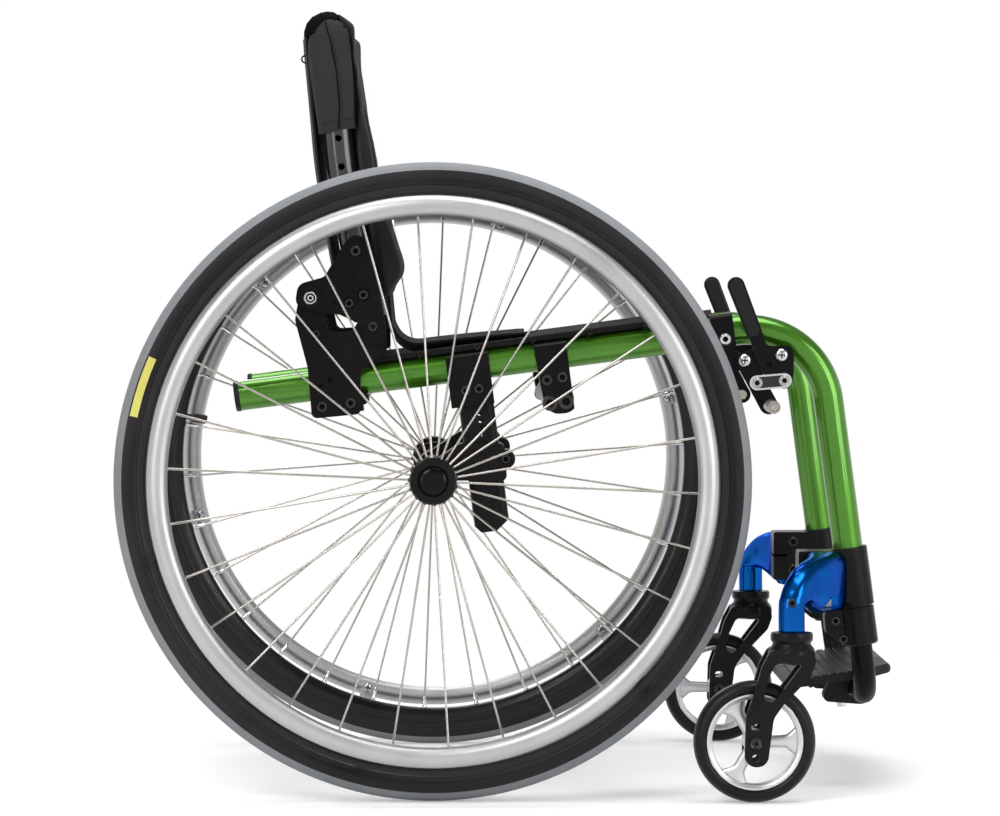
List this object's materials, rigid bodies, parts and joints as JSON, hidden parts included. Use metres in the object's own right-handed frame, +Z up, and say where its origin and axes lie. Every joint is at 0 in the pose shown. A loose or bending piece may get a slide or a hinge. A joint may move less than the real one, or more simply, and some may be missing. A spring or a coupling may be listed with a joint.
{
  "type": "manual wheelchair",
  "caption": "Rigid child's manual wheelchair with cambered spoked wheels and handrims, swivel casters, push-to-lock wheel locks, sling seat, fold-down back and tubular footrest.",
  "frame": {"origin": "floor level, at the middle of the overall box", "axes": "+X forward, towards the footplate; +Y to the sitter's left; +Z up"},
  "size_m": [0.7416, 0.5796, 0.7441],
  "materials": {
    "green_paint": "metallic gloss green",
    "blue_anodised": "blue anodised",
    "black_satin": "satin black anodised",
    "footplate_black": "satin black moulding",
    "rim_black": "gloss black",
    "button_black": "gloss black",
    "grip_black": "dipped black lever",
    "tyre_grey": "grey tread with black sidewalls",
    "tyre_black": "matt black",
    "satin_silver": "satin silver anodised",
    "stainless_steel": "polished stainless steel",
    "zinc_plate": "bright zinc plated",
    "black_fabric": "black woven upholstery"
  },
  "bodies": {
    "frame": {"axle_block_right": "black_satin", "axle_right": "stainless_steel", "axle_stem_right": "black_satin", "back_lower_plate_right": "black_satin", "caster_housing_right": "blue_anodised", "caster_sleeve_right": "black_satin", "footrest_collar_right": "black_satin", "lock_base_right": "black_satin", "rail_end_cap_right": "footplate_black", "seat_bracket_right": "black_satin", "side_frame_right": "green_paint", "stem_clamp_right": "black_satin", "axle_block_left": "black_satin", "axle_left": "stainless_steel", "axle_stem_left": "black_satin", "back_lower_plate_left": "black_satin", "caster_housing_left": "blue_anodised", "caster_sleeve_left": "black_satin", "footrest_collar_left": "black_satin", "lock_base_left": "black_satin", "rail_end_cap_left": "footplate_black", "seat_bracket_left": "black_satin", "side_frame_left": "green_paint", "stem_clamp_left": "black_satin", "camber_tube": "black_satin", "seat_cross_bar": "satin_silver", "seat_sling": "black_fabric", "upholstery_flap": "black_fabric"},
    "wheel_right": {"rear_tyre_right": "tyre_grey", "rear_rim_right": "rim_black", "handrim_right": "satin_silver", "hub_and_spokes_right": "stainless_steel"},
    "button_right": {"axle_button_right": "button_black"},
    "fork_right": {"caster_fork_right": "black_satin", "caster_axle_right": "stainless_steel"},
    "caster_right": {"caster_tyre_right": "tyre_black", "caster_rim_right": "satin_silver"},
    "handle_right": {"lock_handle_right": "grip_black"},
    "shoe_arm_right": {"lock_shoe_arm_right": "zinc_plate"},
    "link_right": {"lock_link_right": "zinc_plate"},
    "wheel_left": {"rear_tyre_left": "tyre_grey", "rear_rim_left": "rim_black", "handrim_left": "satin_silver", "hub_and_spokes_left": "stainless_steel"},
    "button_left": {"axle_button_left": "button_black"},
    "fork_left": {"caster_fork_left": "black_satin", "caster_axle_left": "stainless_steel"},
    "caster_left": {"caster_tyre_left": "tyre_black", "caster_rim_left": "satin_silver"},
    "handle_left": {"lock_handle_left": "grip_black"},
    "shoe_arm_left": {"lock_shoe_arm_left": "zinc_plate"},
    "link_left": {"lock_link_left": "zinc_plate"},
    "back": {"back_upper_plate_right": "black_satin", "back_cane_right": "black_satin", "back_upper_plate_left": "black_satin", "back_cane_left": "black_satin", "back_upholstery": "black_fabric"},
    "release_bar": {"back_release_bar": "stainless_steel"},
    "footrest": {"footrest_loop": "black_satin"},
    "footplate": {"footplate": "footplate_black"}
  },
  "joints": [
    {"name": "wheel_spin_right", "type": "hinge", "parent": "frame", "child": "wheel_right", "pos_m": [-0.07256, -0.2225, 0.29822], "axis": [0, 0.999, -0.0436], "continuous": true},
    {"name": "button_press_right", "type": "slide", "parent": "frame", "child": "button_right", "axis": [0, 0.999, -0.0436], "range_m": [0, 0.0035], "stiffness_N_per_m": 400},
    {"name": "caster_swivel_right", "type": "hinge", "parent": "frame", "child": "fork_right", "pos_m": [0.26094, -0.25, 0.159], "axis": [0, 0, 1], "continuous": true},
    {"name": "caster_spin_right", "type": "hinge", "parent": "fork_right", "child": "caster_right", "pos_m": [0.22644, -0.25, 0.057], "axis": [0, 1, 0], "continuous": true},
    {"name": "lock_handle_turn_right", "type": "hinge", "parent": "frame", "child": "handle_right", "pos_m": [0.25744, -0.171, 0.415], "axis": [0, 1, 0], "range_deg": [0, 23]},
    {"name": "lock_shoe_turn_right", "type": "hinge", "parent": "frame", "child": "shoe_arm_right", "pos_m": [0.22244, -0.171, 0.41], "axis": [0, 1, 0], "range_deg": [0, 22.8]},
    {"name": "lock_link_turn_right", "type": "hinge", "parent": "handle_right", "child": "link_right", "pos_m": [0.25994, -0.174, 0.3909], "axis": [0, 1, 0], "range_deg": [-31.52, 0]},
    {"name": "wheel_spin_left", "type": "hinge", "parent": "frame", "child": "wheel_left", "pos_m": [-0.07256, 0.2225, 0.29822], "axis": [0, 0.999, 0.0436], "continuous": true},
    {"name": "button_press_left", "type": "slide", "parent": "frame", "child": "button_left", "axis": [0, -0.999, -0.0436], "range_m": [0, 0.0035], "stiffness_N_per_m": 400},
    {"name": "caster_swivel_left", "type": "hinge", "parent": "frame", "child": "fork_left", "pos_m": [0.26094, 0.25, 0.159], "axis": [0, 0, 1], "continuous": true},
    {"name": "caster_spin_left", "type": "hinge", "parent": "fork_left", "child": "caster_left", "pos_m": [0.22644, 0.25, 0.057], "axis": [0, 1, 0], "continuous": true},
    {"name": "lock_handle_turn_left", "type": "hinge", "parent": "frame", "child": "handle_left", "pos_m": [0.25744, 0.171, 0.415], "axis": [0, 1, 0], "range_deg": [0, 23]},
    {"name": "lock_shoe_turn_left", "type": "hinge", "parent": "frame", "child": "shoe_arm_left", "pos_m": [0.22244, 0.171, 0.41], "axis": [0, 1, 0], "range_deg": [0, 22.8]},
    {"name": "lock_link_turn_left", "type": "hinge", "parent": "handle_left", "child": "link_left", "pos_m": [0.25994, 0.174, 0.3909], "axis": [0, 1, 0], "range_deg": [-31.52, 0]},
    {"name": "back_fold", "type": "hinge", "parent": "frame", "child": "back", "pos_m": [-0.12956, 0, 0.442], "axis": [0, 1, 0], "range_deg": [0, 75], "deforming": ["upholstery_flap"]},
    {"name": "release_slide", "type": "slide", "parent": "back", "child": "release_bar", "axis": [-0.9093, 0, 0.4161], "range_m": [0, 0.005], "stiffness_N_per_m": 1500},
    {"name": "footrest_height", "type": "slide", "parent": "frame", "child": "footrest", "axis": [-0.1323, 0, 0.9912], "range_m": [-0.04, 0.012]},
    {"name": "footplate_tilt", "type": "hinge", "parent": "footrest", "child": "footplate", "pos_m": [0.34236, 0, 0.089], "axis": [0, 1, 0], "range_deg": [-10, 10]}
  ],
  "couplings": [
    {"joint": "lock_shoe_turn_right", "follows": "lock_handle_turn_right", "ratio": 0.987},
    {"joint": "lock_link_turn_right", "follows": "lock_handle_turn_right", "ratio": -1.366},
    {"joint": "lock_shoe_turn_left", "follows": "lock_handle_turn_left", "ratio": 0.987},
    {"joint": "lock_link_turn_left", "follows": "lock_handle_turn_left", "ratio": -1.366}
  ]
}
